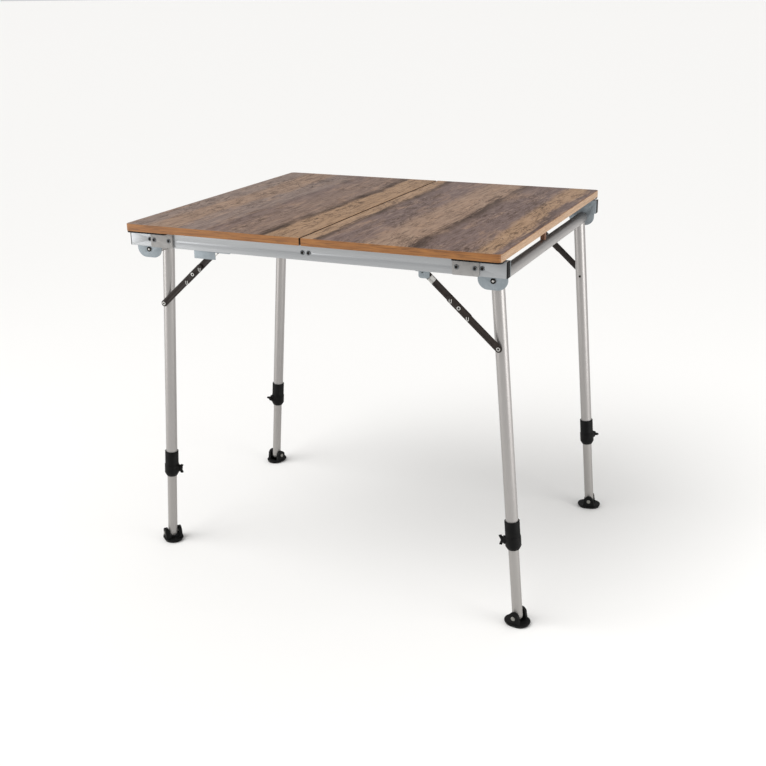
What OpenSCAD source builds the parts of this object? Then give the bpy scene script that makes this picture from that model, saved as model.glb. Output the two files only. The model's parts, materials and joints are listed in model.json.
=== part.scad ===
// Folding camping table: two boards on an aluminium frame, with four telescopic legs.
// The legs sit in two frames of different width, so that one folds up inside the other.
// Millimetres. X runs along the long side, Y from front to back and Z up from the floor.
// The origin is on the floor, under the middle of the table top.

/* [Table top] */
// Length of the table top
top_len = 800; // [760:5:900]
// Width of the table top, front to back
top_wid = 704; // [684:2:740]
// Height of the table top above the floor
top_h = 768; // [720:2:820]
// Thickness of the boards
board_t = 15; // [12:0.5:18]
// Gap between the two boards
seam_gap = 4; // [2:0.5:5]
// Radius of the outer corners of the boards
corner_r = 9; // [5:1:30]

/* [Rails] */
// Distance from the board's edge in to the rail's outer face
rail_inset = 21.5; // [12:0.5:24]
// Depth of the rail, from outer to inner face
rail_d = 16; // [15:0.5:18]
// Height of the rail below its top lip
rail_h = 30; // [28:0.5:32]
// Wall thickness of the rail
rail_wall = 1.6; // [1.2:0.1:2.4]
// Length by which the rail stands out past the board's end
rail_over = 5; // [2:0.5:12]
// Height of the lip that carries the boards
lip_h = 3; // [2:0.5:5]
// Distance by which the lip stands proud of the rail's face
lip_proud = 0.5; // [0.2:0.1:1]
// Height of the groove under the lip
lip_groove_h = 0.8; // [0.5:0.1:1.2]
// Depth of the groove under the lip
lip_groove_d = 1; // [0.5:0.1:1.2]
// Length by which the lip runs on over the corner plate
lip_tuck = 2; // [1:0.5:6]
// Thickness of the caps on the rail ends
cap_t = 2; // [1:0.5:4]

/* [Corner plates] */
// Distance from the rail's end to the near edge of the corner plate
corner_plate_in = 52.5; // [50:0.5:58]
// Length of the corner plate
corner_plate_len = 51.5; // [48:0.5:56]
// Thickness of the corner plate
corner_plate_t = 4; // [2:0.5:6]
// Radius of the corner plate's corners
corner_plate_r = 2; // [1:0.5:4]

/* [Pivot plates] */
// Thickness of the pivot plate
pivot_plate_t = 2; // [1.5:0.5:3]
// Length of the pivot plate along the rail
pivot_plate_len = 105; // [100:1:120]
// Distance from the rail's end in to the lug's outer edge
lug_in = 4; // [1:0.5:6]
// Width of the lug that hangs below the rail
lug_w = 58; // [52:1:62]
// Distance from the hinge axis down to the bottom of the lug
lug_below = 17; // [15:0.5:22]
// Radius of the lug's lower corners
lug_r = 20; // [12:1:24]

/* [Crossmember] */
// Width and height of the square crossmember
cross_w = 25; // [20:1:30]
// Wall thickness of the crossmember
cross_wall = 1.6; // [1.2:0.1:2.5]
// Length of the plug in each end of the crossmember
cross_plug = 14; // [12:1:30]

/* [Rivets] */
// Radius of a rivet's shank
rivet_r = 2; // [1.5:0.1:2.4]
// Radius of a rivet's head
rivet_head_r = 4.6; // [3.5:0.1:4.8]
// Thickness of a rivet's head
rivet_head_t = 1.2; // [0.8:0.1:2]
// Distance from the corner plate out to the rivet beside it
rivet_out = 5; // [5:0.5:8]
// Distance from the corner plate's outer edge in to its first rivet
rivet_edge = 8; // [5:0.5:10]
// Distance from the corner plate's inner edge out to its second rivet
rivet_far = 8.5; // [6:0.5:12]
// Spacing of the crossmember's two rivets
cross_rivet_gap = 13.2; // [11:0.2:14]
// Length of a crossmember rivet inside the plug
cross_rivet_in = 10; // [6:0.5:10]

/* [Leg hinges] */
// Distance from the board's end in to the hinge axis
hinge_in = 27; // [24:0.5:30]
// Distance from the table top down to the hinge axis
hinge_drop = 58.5; // [58.5:0.5:64]
// Radius of the hinge stud's neck
stud_r = 4; // [3:0.5:5]
// Radius of the hinge stud's head
stud_head_r = 6; // [5.5:0.1:6.5]
// Thickness of the hinge stud's head
stud_head_t = 2; // [1:0.5:3]
// Length of the plug on the stud, inside the cross tube
stud_plug = 25; // [15:1:40]
// Radius of the recess in the stud's head
stud_recess_r = 2.6; // [1.5:0.1:3.2]
// Depth of the recess in the stud's head
stud_recess_d = 1; // [0.5:0.1:1.5]
// Gap between the cross tube's end and the pivot plate
cross_tube_gap = 0.5; // [0.3:0.1:1]

/* [Legs] */
// Angle by which each leg leans outwards
splay = 4.5; // [3.8:0.1:5.2]
// Radius of the cross tubes and the upper leg tubes
tube_r = 12.5; // [12.5:0.1:13]
// Wall thickness of the tubes
tube_wall = 1.5; // [1.2:0.1:1.5]
// Radius of the lower leg tubes
lower_r = 10.5; // [10.2:0.1:10.6]
// Distance from the pivot plate in to the axis of a right leg
leg_in_right = 23.5; // [23.5:0.5:30]
// Distance from the axis of a right leg in to that of a left leg
leg_step = 43.5; // [43.5:0.5:48]
// Distance from the hinge axis to the tips of the coped leg tube
cope_tip = 6; // [5:0.5:8]
// Length of the lower tube inside the upper tube
insert_len = 77; // [40:1:120]
// Distance from the lower end of the upper tube to the foot pin
lower_show = 176.5; // [170:0.5:220]
// Length of the solid lower end of the lower tube, above the foot pin
lower_plug = 25; // [15:1:40]

/* [Leg clamps] */
// Radius of the sleeve on the upper tube
sleeve_r = 15; // [14.5:0.1:16]
// Length of the sleeve above the end of the upper tube
sleeve_len = 31; // [20:1:40]
// Radius of the collar round the lower tube
collar_r = 16; // [15.5:0.1:17]
// Distance from the end of the upper tube to the top of the collar
collar_drop = 2; // [1:0.5:4]
// Length of the collar
collar_len = 20; // [18:1:24]
// Length of the tapered end of the collar
collar_taper = 7.5; // [4:0.5:10]
// Radius of the collar's lower end
collar_end_r = 12; // [11.5:0.1:13]
// Radius of the boss round the screw
boss_r = 7; // [5:0.5:7.5]
// Distance by which the boss stands out from the collar
boss_proud = 1.2; // [1:0.1:2]

/* [Wing screws] */
// Radius of the screw's shank
screw_r = 3; // [2:0.5:4]
// Distance from the top of the collar to the screw's axis
screw_drop = 8; // [7.5:0.5:11]
// Radius of the hub
hub_r = 5.5; // [4.5:0.5:6.5]
// Length of the hub
hub_len = 6.5; // [5:0.5:8]
// Thickness of the wings
wing_t = 4; // [3:0.5:5]
// Half of the span across the wings
wing_half = 10.3; // [9:0.1:12]
// Height of the wings above the boss
wing_h = 10.5; // [9.5:0.1:12]
// Distance from the boss to the root of the wings
wing_root = 2.3; // [1:0.1:3]
// Distance by which a wing's end slopes inwards
wing_slope = 1; // [0.5:0.1:3]

/* [Feet] */
// Height of the foot pin above the floor
pin_h = 19; // [18.5:0.5:24]
// Radius of the foot pin
pin_r = 3; // [2:0.5:4]
// Radius of the foot pin's heads
pin_head_r = 4.5; // [4.5:0.1:6]
// Thickness of the foot pin's heads
pin_head_t = 1.2; // [0.8:0.1:2]
// Radius of the foot's rounded rim
foot_r = 22; // [21:0.5:25]
// Distance by which the foot's oval is longer than it is wide
foot_stretch = 10; // [6:1:16]
// Height of the top of the foot's plate
foot_plate_h = 7; // [5.5:0.5:7.5]
// Height at which the rim starts to taper inwards
foot_rim_h = 5; // [3:0.5:5]
// Distance by which the rim tapers in at the floor
foot_taper = 3; // [1:0.5:5]
// Thickness of the foot's ears
foot_ear_t = 7.5; // [6:0.5:8]
// Radius of the ears round the pin
foot_ear_r = 11.5; // [8:0.5:12]
// Half of the width of the ears where they meet the plate
foot_ear_half = 13.5; // [13:0.5:16]
// Side clearance between the lower tube and an ear
foot_ear_gap = 1.2; // [1.2:0.1:1.6]

/* [Folding braces] */
// Distance along the rail from the hinge axis to the brace's upper pivot
brace_out = 139; // [138:0.5:150]
// Height of the brace's upper pivot above the hinge axis
brace_up = 5; // [5:0.5:6.5]
// Distance along the leg from the hinge axis to the brace's lower rivet
brace_leg = 130; // [124:0.5:130]
// Angle through which a leg frame folds
fold = 93; // [90:0.5:94]
// Width of the brace's bars
bar_w = 14; // [12:0.5:14]
// Thickness of the brace's bars
bar_t = 2; // [1.5:0.1:2]
// Length of each bar past the middle rivet
bar_tail = 24; // [16:1:30]
// Width of the groove along a bar
bar_groove_w = 5; // [3:0.5:7]
// Depth of the groove along a bar
bar_groove_d = 0.5; // [0.3:0.1:0.8]
// Radius of the pivots' shanks
brace_pin_r = 2.5; // [2:0.1:3]
// Radius of the rivet that stands off the leg
leg_rivet_r = 4; // [3:0.1:4.5]
// Radius of the brace's rivet heads
brace_head_r = 4.5; // [3.5:0.1:5.5]
// Thickness of the brace's rivet heads
brace_head_t = 1.2; // [0.8:0.1:1.2]

/* [Brace brackets] */
// Thickness of the bracket's sheet
bracket_t = 2; // [1.5:0.1:2]
// Distance from a right bracket's pivot to its end nearer the leg
bracket_right_out = 14; // [10:0.5:25]
// Distance from a right bracket's pivot to its other end
bracket_right_in = 8; // [8:0.5:20]
// Distance from a left bracket's pivot to its end nearer the leg
bracket_left_out = 20.5; // [15:0.5:30]
// Distance from a left bracket's pivot to its other end
bracket_left_in = 28.5; // [15:0.5:30]
// Gap between the brace's end and the web above it
web_gap = 1; // [0.5:0.1:2]
// Height of the bracket's outer ear below the rail
ear_h = 18; // [14:0.5:24]
// Radius of the ear's lower corners
ear_r = 5; // [2:0.5:6]
// Height of the front flange of a left bracket
flange_h = 16.5; // [8:0.5:20]
// Distance by which the bracket's top plate reaches under the rail
bracket_reach = 12; // [8:0.5:12]

/* [Rest blocks] */
// Length of the rest block along the rail
block_len = 9; // [8:1:20]
// Width of the rest block
block_w = 12; // [8:1:40]
// Distance from the hinge axis to the block's end nearer the board's end
block_out = 4.5; // [4:0.5:8]

/* [Fits] */
// Radial clearance of a shank that is fixed in its hole
fixed_fit = 0.05; // [0.02:0.01:0.1]
// Radial clearance of a pin that turns or slides in its hole
running_fit = 0.05; // [0.02:0.01:0.1]
// Gap between parts that pass each other
pass_gap = 0.3; // [0.3:0.05:0.4]
// Gap at the coped joint of leg and cross tube
weld_gap = 0.05; // [0.02:0.01:0.1]

/* [Hidden] */
$fn = 96;
eps = 0.01;
board_z = top_h - board_t;
rail_top = board_z - lip_h;
rail_z = rail_top - rail_h;
rail_y1 = top_wid / 2 - rail_inset;
rail_y0 = rail_y1 - rail_d;
rail_end = top_len / 2 + rail_over;
corner_x1 = rail_end - corner_plate_in;
corner_x0 = corner_x1 - corner_plate_len;
lip_end = corner_x0 + lip_tuck;
pivot_y0 = rail_y0 - pivot_plate_t;
lug_x1 = rail_end - lug_in;
rivet_xs = [corner_x1 + rivet_out, corner_x1 - rivet_edge, corner_x0 + rivet_far];
rivet_z = rail_z + rail_h / 2;

hinge_x = top_len / 2 - hinge_in;
hinge_z = top_h - hinge_drop;
cross_half = pivot_y0 - cross_tube_gap;
leg_y_right = pivot_y0 - leg_in_right;
leg_y_left = leg_y_right - leg_step;

pin_s = (hinge_z - pin_h) / cos(splay);
pin_x = hinge_x + (hinge_z - pin_h) * tan(splay);
upper_s = pin_s - lower_show;
lower_top_s = upper_s - insert_len;
collar_s0 = upper_s + collar_drop;
collar_s1 = collar_s0 + collar_len;
collar_s2 = collar_s1 + collar_taper;
screw_s = collar_s0 + screw_drop;
boss_top = collar_r + boss_proud;
hub_at = boss_top + pass_gap;

brace_dir_u = brace_out + brace_leg * sin(splay);
brace_dir_z = brace_up + brace_leg * cos(splay);
brace_len = sqrt(pow(brace_dir_u, 2) + pow(brace_dir_z, 2));
fold_u = brace_leg * sin(fold - splay);
fold_z = -brace_leg * cos(fold - splay);
upper_bar = (pow(brace_len, 2) - pow(brace_out - fold_u, 2) - pow(brace_up - fold_z, 2))
  / (2 * (brace_len + brace_out - fold_u));
brace_x = hinge_x - brace_out;
brace_z = hinge_z + brace_up;

ear_in = 2 * pass_gap;
upper_in = ear_in + bracket_t + pass_gap;
lower_in = upper_in + bar_t + pass_gap;
head_in = lower_in + bar_t;
ear_out = head_in + brace_head_t + 2 * pass_gap;
stack_out = ear_out + bracket_t;

left = -1;
right = 1;
front = -1;
back = 1;

laminate = [0.55, 0.47, 0.40];
alloy = [0.76, 0.75, 0.73];
steel = [0.60, 0.62, 0.64];
bright = [0.80, 0.80, 0.80];
brown_black = [0.16, 0.14, 0.12];
black = [0.08, 0.08, 0.08];
brown = [0.22, 0.15, 0.10];

function leg_y(side) = side == left ? leg_y_left : leg_y_right;

// Directions of the wing screws and foot pins, in degrees from the X axis.
// The photograph shows each one turned differently.
function screw_az(side, depth) =
  depth == front ? (side == left ? 10 : 195) : (side == left ? 235 : 50);
function wing_turn(depth) = depth == front ? 0 : 90;
function pin_az(side, depth) =
  depth == front ? (side == left ? 50 : 80) : (side == left ? -16 : 100);

// Rod along Y between two distances from the middle plane, on the front or back half.
module rod_y(depth, r, near, far) {
  translate([0, depth * near, 0])
    rotate([-90 * depth, 0, 0])
      cylinder(r = r, h = far - near);
}

// Plate in the XZ plane between two distances from the middle plane.
module plate_xz(depth, near, far) {
  translate([0, depth == back ? far : -near, 0])
    rotate([90, 0, 0])
      linear_extrude(far - near)
        children();
}

// Rod along the first axis, between two distances.
module rod_x(r, near, far) {
  translate([near, 0, 0])
    rotate([0, 90, 0])
      cylinder(r = r, h = far - near);
}

// Frame of one leg: the hinge axis is at the origin and the leg runs along -Z.
module on_leg(side, depth) {
  translate([side * hinge_x, depth * leg_y(side), hinge_z])
    rotate([0, -side * splay, 0])
      children();
}

// Part of a leg between two distances from the hinge axis.
module leg_rod(r, s0, s1) {
  translate([0, 0, -s1])
    cylinder(r = r, h = s1 - s0);
}

// Frame of one foot: the pin is at the origin and lies along X.
module on_pin(side, depth) {
  translate([side * pin_x, depth * leg_y(side), pin_h])
    rotate([0, 0, pin_az(side, depth)])
      children();
}

// Frame of one brace in the XZ plane: the first axis runs from its bracket to the leg.
module on_brace(side) {
  translate([side * brace_x, brace_z])
    rotate(atan2(-brace_dir_z, side * brace_dir_u))
      children();
}

// Rectangle with rounded lower corners, its upper edge on the first axis.
module hanging_2d(x0, x1, h, r) {
  translate([x0, r - h])
    square([x1 - x0, h - r]);
  translate([x0 + r, -h])
    square([x1 - x0 - 2 * r, r + eps]);
  for (x = [x0 + r, x1 - r])
    translate([x, r - h])
      circle(r);
}

module board(side) {
  half = top_len / 2;
  wid = top_wid / 2;
  color(laminate)
    translate([0, 0, board_z])
      linear_extrude(board_t)
        scale([side, 1]) {
          translate([seam_gap / 2, -wid])
            square([half - corner_r - seam_gap / 2, top_wid]);
          translate([half - corner_r - eps, corner_r - wid])
            square([corner_r + eps, top_wid - 2 * corner_r]);
          for (y = [-1, 1])
            translate([half - corner_r, y * (wid - corner_r)])
              circle(corner_r);
        }
}

// Holes of the rivets, as rods through everything that they hold.
module rivet_rods(depth, r, near, far) {
  for (side = [left, right], x = rivet_xs)
    translate([side * x, 0, rivet_z])
      rod_y(depth, r, near, far);
}

module cross_rivet_rods(depth, r, near, far) {
  for (side = [left, right])
    translate([side * cross_rivet_gap / 2, 0, rivet_z])
      rod_y(depth, r, near, far);
}

module rail(depth) {
  inner = rail_end - cap_t;
  y_mid = depth * (rail_y0 + rail_y1) / 2;
  color(alloy)
    difference() {
      union() {
        translate([-inner, y_mid - rail_d / 2, rail_z])
          cube([2 * inner, rail_d, rail_h]);
        translate([-lip_end, depth == back ? rail_y0 : -rail_y1 - lip_proud, rail_top - eps])
          cube([2 * lip_end, rail_d + lip_proud, lip_h + eps]);
      }
      translate([-inner - 1, y_mid - rail_d / 2 + rail_wall, rail_z + rail_wall])
        cube([2 * inner + 2, rail_d - 2 * rail_wall, rail_h - 2 * rail_wall]);
      translate([
        -lip_end - 1,
        depth == back ? rail_y1 - lip_groove_d : -rail_y1 - lip_proud - 1,
        rail_top
      ])
        cube([2 * lip_end + 2, lip_groove_d + lip_proud + 1, lip_groove_h]);
      rivet_rods(depth, rivet_r + fixed_fit, rail_y0 - 1, rail_y1 + 1);
      cross_rivet_rods(depth, rivet_r + fixed_fit, rail_y0 - 1, rail_y1 + 1);
    }
}

module end_caps() {
  color(black)
    for (side = [left, right], depth = [front, back])
      translate([
        side * (rail_end - cap_t / 2),
        depth * (rail_y0 + rail_y1) / 2,
        rail_z + rail_h / 2
      ])
        cube([cap_t, rail_d, rail_h], center = true);
}

module crossmember() {
  color(alloy)
    difference() {
      translate([-cross_w / 2, -rail_y0, board_z - cross_w])
        cube([cross_w, 2 * rail_y0, cross_w]);
      translate([-cross_w / 2 + cross_wall, -rail_y0 + cross_plug, board_z - cross_w + cross_wall])
        cube([cross_w - 2 * cross_wall, 2 * (rail_y0 - cross_plug), cross_w - 2 * cross_wall]);
      for (depth = [front, back])
        cross_rivet_rods(depth, rivet_r + fixed_fit, rail_y0 - cross_rivet_in - 1, rail_y0 + 1);
    }
}

module corner_plate(side, depth) {
  color(steel)
    difference() {
      plate_xz(depth, rail_y1, rail_y1 + corner_plate_t)
        scale([side, 1])
          translate([corner_x0, rail_z])
            rounded_2d(corner_plate_len, rail_h, corner_plate_r);
      rivet_rods(depth, rivet_r + fixed_fit, rail_y1 - 1, rail_y1 + corner_plate_t + 1);
    }
}

// Rectangle with four rounded corners.
module rounded_2d(w, h, r) {
  translate([0, r])
    square([w, h - 2 * r]);
  translate([r, 0])
    square([w - 2 * r, h]);
  for (x = [r, w - r], y = [r, h - r])
    translate([x, y])
      circle(r);
}

module pivot_plate(side, depth) {
  color(steel)
    difference() {
      plate_xz(depth, pivot_y0, rail_y0)
        scale([side, 1]) {
          translate([rail_end - pivot_plate_len, rail_z])
            square([pivot_plate_len, rail_h]);
          translate([0, rail_z + eps])
            hanging_2d(lug_x1 - lug_w, lug_x1, rail_z + eps - hinge_z + lug_below, lug_r);
        }
      translate([side * hinge_x, 0, hinge_z])
        rod_y(depth, stud_r + running_fit, pivot_y0 - 1, rail_y0 + 1);
      rivet_rods(depth, rivet_r + fixed_fit, pivot_y0 - 1, rail_y0 + 1);
    }
}

// A rivet of the frame: its head outside, its shank and the set end inside.
module rivet(depth, outer, inner) {
  rod_y(depth, rivet_head_r, outer, outer + rivet_head_t);
  rod_y(depth, rivet_r, inner, outer + eps);
}

module frame_rivets() {
  plate_face = rail_y1 + corner_plate_t;
  color(bright)
    for (depth = [front, back], side = [left, right]) {
      for (i = [0:2])
        translate([side * rivet_xs[i], 0, rivet_z]) {
          rivet(depth, i == 0 ? rail_y1 : plate_face, pivot_y0 - rivet_head_t);
          rod_y(depth, rivet_head_r, pivot_y0 - rivet_head_t, pivot_y0);
        }
      translate([side * cross_rivet_gap / 2, 0, rivet_z])
        rivet(depth, rail_y1, rail_y0 - cross_rivet_in);
    }
}

module rest_block(side) {
  color(brown)
    difference() {
      translate([
        side * (hinge_x + block_out - block_len / 2),
        0,
        (board_z + hinge_z) / 2
      ])
        cube([block_len, block_w, board_z - hinge_z], center = true);
      translate([side * hinge_x, 0, hinge_z])
        rod_y(back, tube_r + pass_gap, -block_w, block_w);
    }
}

// Bracket of a brace: an inner ear that holds the pin, an outer ear with a clear
// hole, a web above the brace's end and a flange that reaches under the rail.
module bracket(side, depth) {
  y0 = leg_y(side) + tube_r;
  out = side == left ? bracket_left_out : bracket_right_out;
  in = side == left ? bracket_left_in : bracket_right_in;
  reach = rail_y0 + bracket_reach;
  web_z = brace_z + bar_w / 2 + web_gap;
  color(steel)
    difference() {
      union() {
        plate_xz(depth, y0 + ear_in, y0 + stack_out)
          bracket_side_2d(side, -in, out, web_z, bracket_t);
        plate_xz(depth, y0 + ear_out, reach)
          bracket_side_2d(side, -in, out, rail_z - bracket_t, bracket_t);
        plate_xz(depth, y0 + ear_in, y0 + ear_in + bracket_t)
          translate([side * brace_x, brace_z]) {
            circle(bar_w / 2);
            translate([-bar_w / 2, 0])
              square([bar_w, web_z - brace_z + eps]);
          }
        plate_xz(depth, y0 + ear_out, y0 + stack_out) {
          bracket_side_2d(side, -in, out, rail_z - bracket_t, web_z - rail_z + bracket_t + eps);
          translate([side * brace_x, rail_z - eps])
            scale([side, 1])
              hanging_2d(-in, out, ear_h - eps, ear_r);
        }
        if (side == left)
          plate_xz(depth, reach, reach + bracket_t)
            bracket_side_2d(side, -in, out, rail_z - flange_h, flange_h);
      }
      translate([side * brace_x, 0, brace_z])
        rod_y(depth, brace_pin_r + fixed_fit, y0, y0 + stack_out + 1);
    }
}

// Strip of a bracket as seen from the front, from a height up.
module bracket_side_2d(side, x0, x1, z, h) {
  translate([side * brace_x, z])
    scale([side, 1])
      translate([x0, 0])
        square([x1 - x0, h]);
}

module bracket_pins() {
  color(bright)
    for (side = [left, right], depth = [front, back]) {
      y0 = leg_y(side) + tube_r;
      translate([side * brace_x, 0, brace_z])
        rod_y(depth, brace_pin_r, y0 + ear_in, y0 + upper_in + bar_t);
    }
}

module cross_tube(side) {
  color(alloy)
    translate([side * hinge_x, 0, hinge_z])
      difference() {
        rod_y(back, tube_r, -cross_half, cross_half);
        rod_y(back, tube_r - tube_wall, -cross_half - 1, cross_half + 1);
      }
}

// Two hinge studs: a plug in the tube's end, a neck through the lug and a flared head.
module hinge_studs(side) {
  color(bright)
    for (depth = [front, back])
      translate([side * hinge_x, 0, hinge_z])
        difference() {
          union() {
            rod_y(depth, tube_r - tube_wall - fixed_fit, cross_half - stud_plug, cross_half);
            rod_y(depth, stud_r, cross_half - eps, rail_y0 + pass_gap + eps);
            rod_y(depth, stud_head_r, rail_y0 + pass_gap, rail_y0 + pass_gap + stud_head_t);
          }
          rod_y(
            depth,
            stud_recess_r,
            rail_y0 + pass_gap + stud_head_t - stud_recess_d,
            rail_y0 + pass_gap + stud_head_t + 1
          );
        }
}

module leg_tube(side, depth) {
  color(alloy)
    difference() {
      on_leg(side, depth)
        difference() {
          leg_rod(tube_r, cope_tip, upper_s);
          leg_rod(tube_r - tube_wall, 0, upper_s + 1);
        }
      translate([side * hinge_x, 0, hinge_z])
        rod_y(back, tube_r + weld_gap, -cross_half, cross_half);
    }
}

module clamp(side, depth) {
  color(black)
    on_leg(side, depth)
      difference() {
        union() {
          leg_rod(sleeve_r, upper_s - sleeve_len, collar_s0 + eps);
          leg_rod(collar_r, collar_s0, collar_s1);
          translate([0, 0, -collar_s2])
            cylinder(r1 = collar_end_r, r2 = collar_r, h = collar_taper);
          translate([0, 0, -screw_s])
            rotate([0, 0, screw_az(side, depth)])
              rod_x(boss_r, 0, boss_top);
        }
        leg_rod(tube_r + fixed_fit, upper_s - sleeve_len - 1, upper_s);
        leg_rod(lower_r + running_fit, upper_s - 1, collar_s2 + 1);
        translate([0, 0, -screw_s])
          rotate([0, 0, screw_az(side, depth)])
            rod_x(screw_r + running_fit, 0, boss_top + 1);
      }
}

module wing_screw(side, depth) {
  color(black)
    on_leg(side, depth)
      translate([0, 0, -screw_s])
        rotate([0, 0, screw_az(side, depth)])
          rotate([wing_turn(depth), 0, 0]) {
            rod_x(screw_r, lower_r + pass_gap, hub_at + eps);
            rod_x(hub_r, hub_at, hub_at + hub_len);
            translate([boss_top, 0, 0])
              rotate([90, 0, 0])
                linear_extrude(wing_t, center = true)
                  wings_2d();
          }
}

// The two wings, as seen from the side, with a notch between them.
module wings_2d() {
  polygon([
    [wing_root, -hub_r],
    [wing_root, hub_r],
    [wing_h / 2, wing_half],
    [wing_h, wing_half - wing_slope],
    [hub_len, 0],
    [wing_h, wing_slope - wing_half],
    [wing_h / 2, -wing_half]
  ]);
}

module lower_tube(side, depth) {
  color(alloy)
    difference() {
      on_leg(side, depth)
        difference() {
          union() {
            leg_rod(lower_r, lower_top_s, pin_s);
            translate([0, 0, -pin_s])
              sphere(r = lower_r);
          }
          leg_rod(lower_r - tube_wall, lower_top_s - 1, pin_s - lower_plug);
        }
      on_pin(side, depth)
        rod_x(pin_r + running_fit, -lower_r - 1, lower_r + 1);
    }
}

module foot(side, depth) {
  ear_x = lower_r + foot_ear_gap;
  color(black)
    on_pin(side, depth)
      difference() {
        union() {
          translate([0, 0, -pin_h])
            foot_plate();
          for (x = [-ear_x - foot_ear_t, ear_x])
            translate([x, 0, 0])
              rotate([90, 0, 90])
                linear_extrude(foot_ear_t)
                  ear_2d();
        }
        rod_x(pin_r + fixed_fit, -ear_x - foot_ear_t - 1, ear_x + foot_ear_t + 1);
      }
}

// The foot's oval plate: an upright rim above a part that tapers in to the floor.
module foot_plate() {
  half = foot_stretch / 2;
  translate([0, 0, foot_rim_h])
    linear_extrude(foot_plate_h - foot_rim_h) {
      translate([-foot_r, -half])
        square([2 * foot_r, foot_stretch]);
      for (y = [-half, half])
        translate([0, y])
          circle(foot_r);
    }
  for (y = [-half, half])
    translate([0, y, 0])
      cylinder(r1 = foot_r - foot_taper, r2 = foot_r, h = foot_rim_h);
  translate([0, half, 0])
    rotate([90, 0, 0])
      linear_extrude(foot_stretch)
        polygon([
          [foot_taper - foot_r, 0],
          [foot_r - foot_taper, 0],
          [foot_r, foot_rim_h],
          [-foot_r, foot_rim_h]
        ]);
}

// Outline of a foot's ear round the pin, down into the plate.
module ear_2d() {
  circle(foot_ear_r);
  polygon([
    [-foot_ear_half, foot_plate_h - pin_h - eps],
    [foot_ear_half, foot_plate_h - pin_h - eps],
    [foot_ear_r, 0],
    [-foot_ear_r, 0]
  ]);
}

module foot_pin(side, depth) {
  ear_end = lower_r + foot_ear_gap + foot_ear_t;
  color(bright)
    on_pin(side, depth) {
      rod_x(pin_r, -ear_end - eps, ear_end + eps);
      for (x = [-ear_end - pin_head_t, ear_end])
        rod_x(pin_head_r, x, x + pin_head_t);
    }
}

// Flat bar with round ends, between two distances along the brace.
module bar_2d(from, to) {
  translate([from, -bar_w / 2])
    square([to - from, bar_w]);
  for (x = [from, to])
    translate([x, 0])
      circle(bar_w / 2);
}

// Groove along a bar's outer face, ending short of its pivots.
module groove_2d(from, to) {
  translate([from, -bar_groove_w / 2])
    square([to - from, bar_groove_w]);
  for (x = [from, to])
    translate([x, 0])
      circle(bar_groove_w / 2);
}

module brace_upper(side, depth) {
  y0 = leg_y(side) + tube_r;
  color(brown_black)
    difference() {
      plate_xz(depth, y0 + upper_in, y0 + upper_in + bar_t)
        on_brace(side)
          bar_2d(0, upper_bar + bar_tail);
      plate_xz(depth, y0 + upper_in + bar_t - bar_groove_d, y0 + upper_in + bar_t + 1)
        on_brace(side)
          groove_2d(bar_w, upper_bar - bar_w);
      plate_xz(depth, y0 + upper_in - 1, y0 + upper_in + bar_t + 1)
        on_brace(side)
          for (x = [0, upper_bar])
            translate([x, 0])
              circle(brace_pin_r + running_fit);
    }
}

// Lower bar with its two rivets: the middle one turns in the upper bar, the one at
// the leg ends just off the tube.
module brace_lower(side, depth) {
  y0 = leg_y(side) + tube_r;
  color(brown_black)
    difference() {
      union() {
        plate_xz(depth, y0 + lower_in, y0 + head_in)
          on_brace(side)
            bar_2d(upper_bar - bar_tail, brace_len);
        plate_xz(depth, y0 + upper_in, y0 + head_in + brace_head_t)
          on_brace(side)
            translate([upper_bar, 0])
              circle(brace_pin_r);
        plate_xz(depth, y0 + pass_gap, y0 + head_in + brace_head_t)
          on_brace(side)
            translate([brace_len, 0])
              circle(leg_rivet_r);
        plate_xz(depth, y0 + head_in - eps, y0 + head_in + brace_head_t)
          on_brace(side)
            for (x = [upper_bar, brace_len])
              translate([x, 0])
                circle(brace_head_r);
      }
      plate_xz(depth, y0 + head_in - bar_groove_d, y0 + head_in + 1)
        on_brace(side)
          groove_2d(upper_bar + bar_w, brace_len - bar_w);
    }
}

module board_left() { board(left); }
module board_right() { board(right); }
module rail_front() { rail(front); }
module rail_back() { rail(back); }
module corner_plate_fl() { corner_plate(left, front); }
module corner_plate_fr() { corner_plate(right, front); }
module corner_plate_bl() { corner_plate(left, back); }
module corner_plate_br() { corner_plate(right, back); }
module pivot_plate_fl() { pivot_plate(left, front); }
module pivot_plate_fr() { pivot_plate(right, front); }
module pivot_plate_bl() { pivot_plate(left, back); }
module pivot_plate_br() { pivot_plate(right, back); }
module rest_block_left() { rest_block(left); }
module rest_block_right() { rest_block(right); }
module bracket_fl() { bracket(left, front); }
module bracket_fr() { bracket(right, front); }
module bracket_bl() { bracket(left, back); }
module bracket_br() { bracket(right, back); }
module cross_tube_left() { cross_tube(left); }
module cross_tube_right() { cross_tube(right); }
module hinge_studs_left() { hinge_studs(left); }
module hinge_studs_right() { hinge_studs(right); }
module leg_tube_fl() { leg_tube(left, front); }
module leg_tube_fr() { leg_tube(right, front); }
module leg_tube_bl() { leg_tube(left, back); }
module leg_tube_br() { leg_tube(right, back); }
module clamp_fl() { clamp(left, front); }
module clamp_fr() { clamp(right, front); }
module clamp_bl() { clamp(left, back); }
module clamp_br() { clamp(right, back); }
module wing_screw_fl() { wing_screw(left, front); }
module wing_screw_fr() { wing_screw(right, front); }
module wing_screw_bl() { wing_screw(left, back); }
module wing_screw_br() { wing_screw(right, back); }
module lower_tube_fl() { lower_tube(left, front); }
module lower_tube_fr() { lower_tube(right, front); }
module lower_tube_bl() { lower_tube(left, back); }
module lower_tube_br() { lower_tube(right, back); }
module foot_fl() { foot(left, front); }
module foot_fr() { foot(right, front); }
module foot_bl() { foot(left, back); }
module foot_br() { foot(right, back); }
module foot_pin_fl() { foot_pin(left, front); }
module foot_pin_fr() { foot_pin(right, front); }
module foot_pin_bl() { foot_pin(left, back); }
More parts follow.
